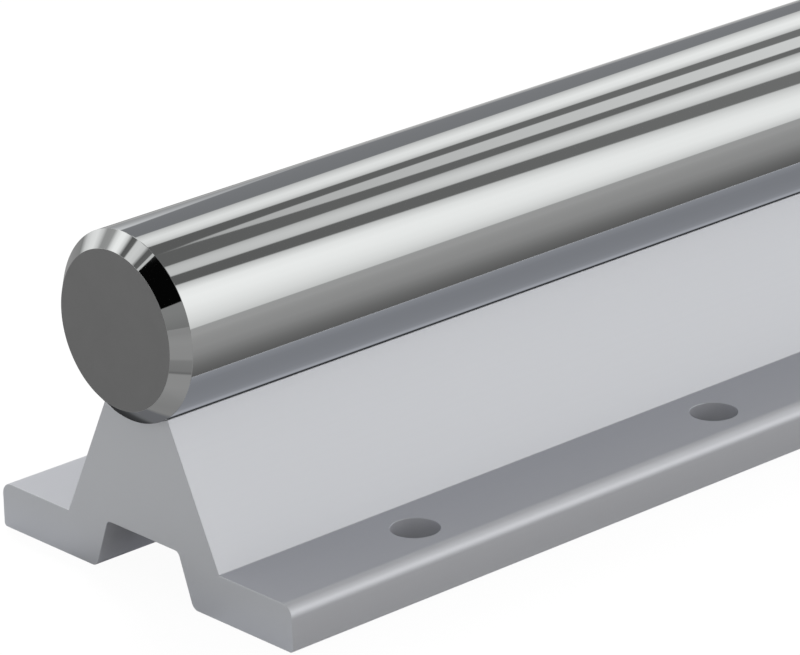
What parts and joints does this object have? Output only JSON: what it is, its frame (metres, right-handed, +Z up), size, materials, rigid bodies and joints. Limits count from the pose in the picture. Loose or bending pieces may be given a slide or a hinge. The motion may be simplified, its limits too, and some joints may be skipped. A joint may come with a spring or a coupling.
{
  "type": "supported round rail",
  "caption": "Chromed round linear shaft held along its length on an aluminium support extrusion with drilled mounting flanges.",
  "frame": {"origin": "middle of the flat base, at mid-length and mid-width", "axes": "+Y along the rail, +X across it, +Z up from the base towards the shaft"},
  "size_m": [0.045, 0.3046, 0.0385],
  "materials": {
    "shaft_chrome": "ground and hard chromed, mirror bright",
    "support_aluminium": "extruded, clear satin anodised",
    "screw_steel": "black oxide"
  },
  "bodies": {
    "root": {"shaft": "shaft_chrome", "support_rail": "support_aluminium", "clamp_screw_1": "screw_steel", "clamp_screw_2": "screw_steel", "clamp_screw_3": "screw_steel", "clamp_screw_4": "screw_steel"}
  },
  "joints": []
}
